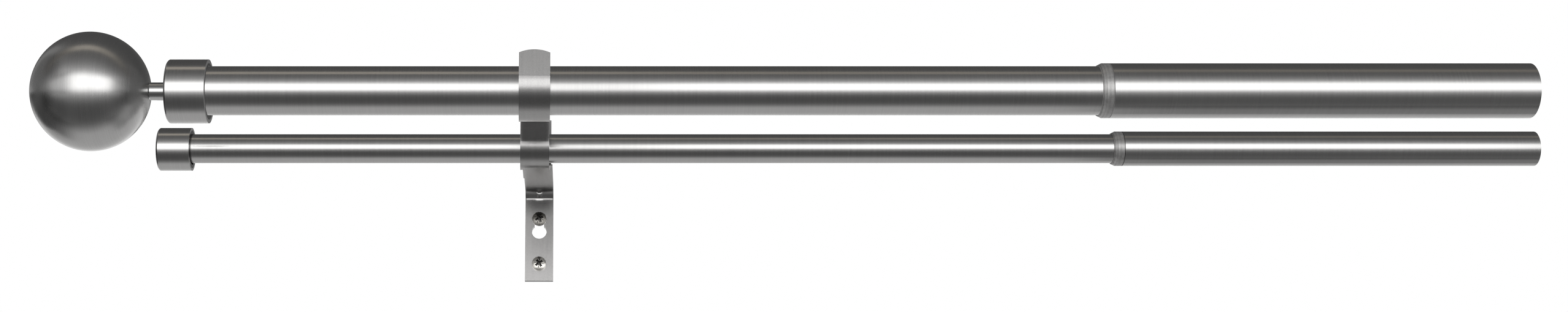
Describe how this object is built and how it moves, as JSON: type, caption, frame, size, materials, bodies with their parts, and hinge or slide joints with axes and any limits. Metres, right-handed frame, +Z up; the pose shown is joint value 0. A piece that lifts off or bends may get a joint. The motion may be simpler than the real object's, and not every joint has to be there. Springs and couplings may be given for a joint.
{
  "type": "double curtain pole",
  "caption": "Double telescopic curtain pole: thick front and thin rear steel tubes in one bent strip wall bracket, ball finial on the front end, plain cap behind.",
  "frame": {"origin": "on the wall, midway between the two wall screws", "axes": "+X along the poles away from the ball finial, +Y into the wall, +Z up"},
  "size_m": [0.8044, 0.1769, 0.0931],
  "materials": {
    "bracket_steel": "brushed",
    "satin_tube": "satin",
    "satin_cap": "turned satin",
    "satin_ball": "fine turned satin",
    "turned_pin": "bright turned",
    "screw_steel": "bright zinc",
    "grey_plastic": "translucent grey"
  },
  "bodies": {
    "bracket_and_inner_poles": {"front_strip": "bracket_steel", "bracket_strip": "bracket_steel", "rear_stop": "bracket_steel", "upper_wall_screw": "screw_steel", "lower_wall_screw": "screw_steel", "finial_pin": "turned_pin", "ball_finial": "satin_ball", "front_inner_tube": "satin_tube", "front_inner_glide": "grey_plastic", "front_end_cap": "satin_cap", "front_cap_grub_screw": "screw_steel", "rear_inner_tube": "satin_tube", "rear_inner_glide": "grey_plastic", "rear_end_cap": "satin_cap", "rear_cap_grub_screw": "screw_steel"},
    "front_outer_pole": {"front_outer_tube": "satin_tube", "front_glide_ring": "grey_plastic"},
    "rear_outer_pole": {"rear_outer_tube": "satin_tube", "rear_glide_ring": "grey_plastic"}
  },
  "joints": [
    {"name": "front_pole_slide", "type": "slide", "parent": "bracket_and_inner_poles", "child": "front_outer_pole", "axis": [1, 0, 0], "range_m": [-0.085, 0.07]},
    {"name": "rear_pole_slide", "type": "slide", "parent": "bracket_and_inner_poles", "child": "rear_outer_pole", "axis": [1, 0, 0], "range_m": [-0.085, 0.07]}
  ]
}
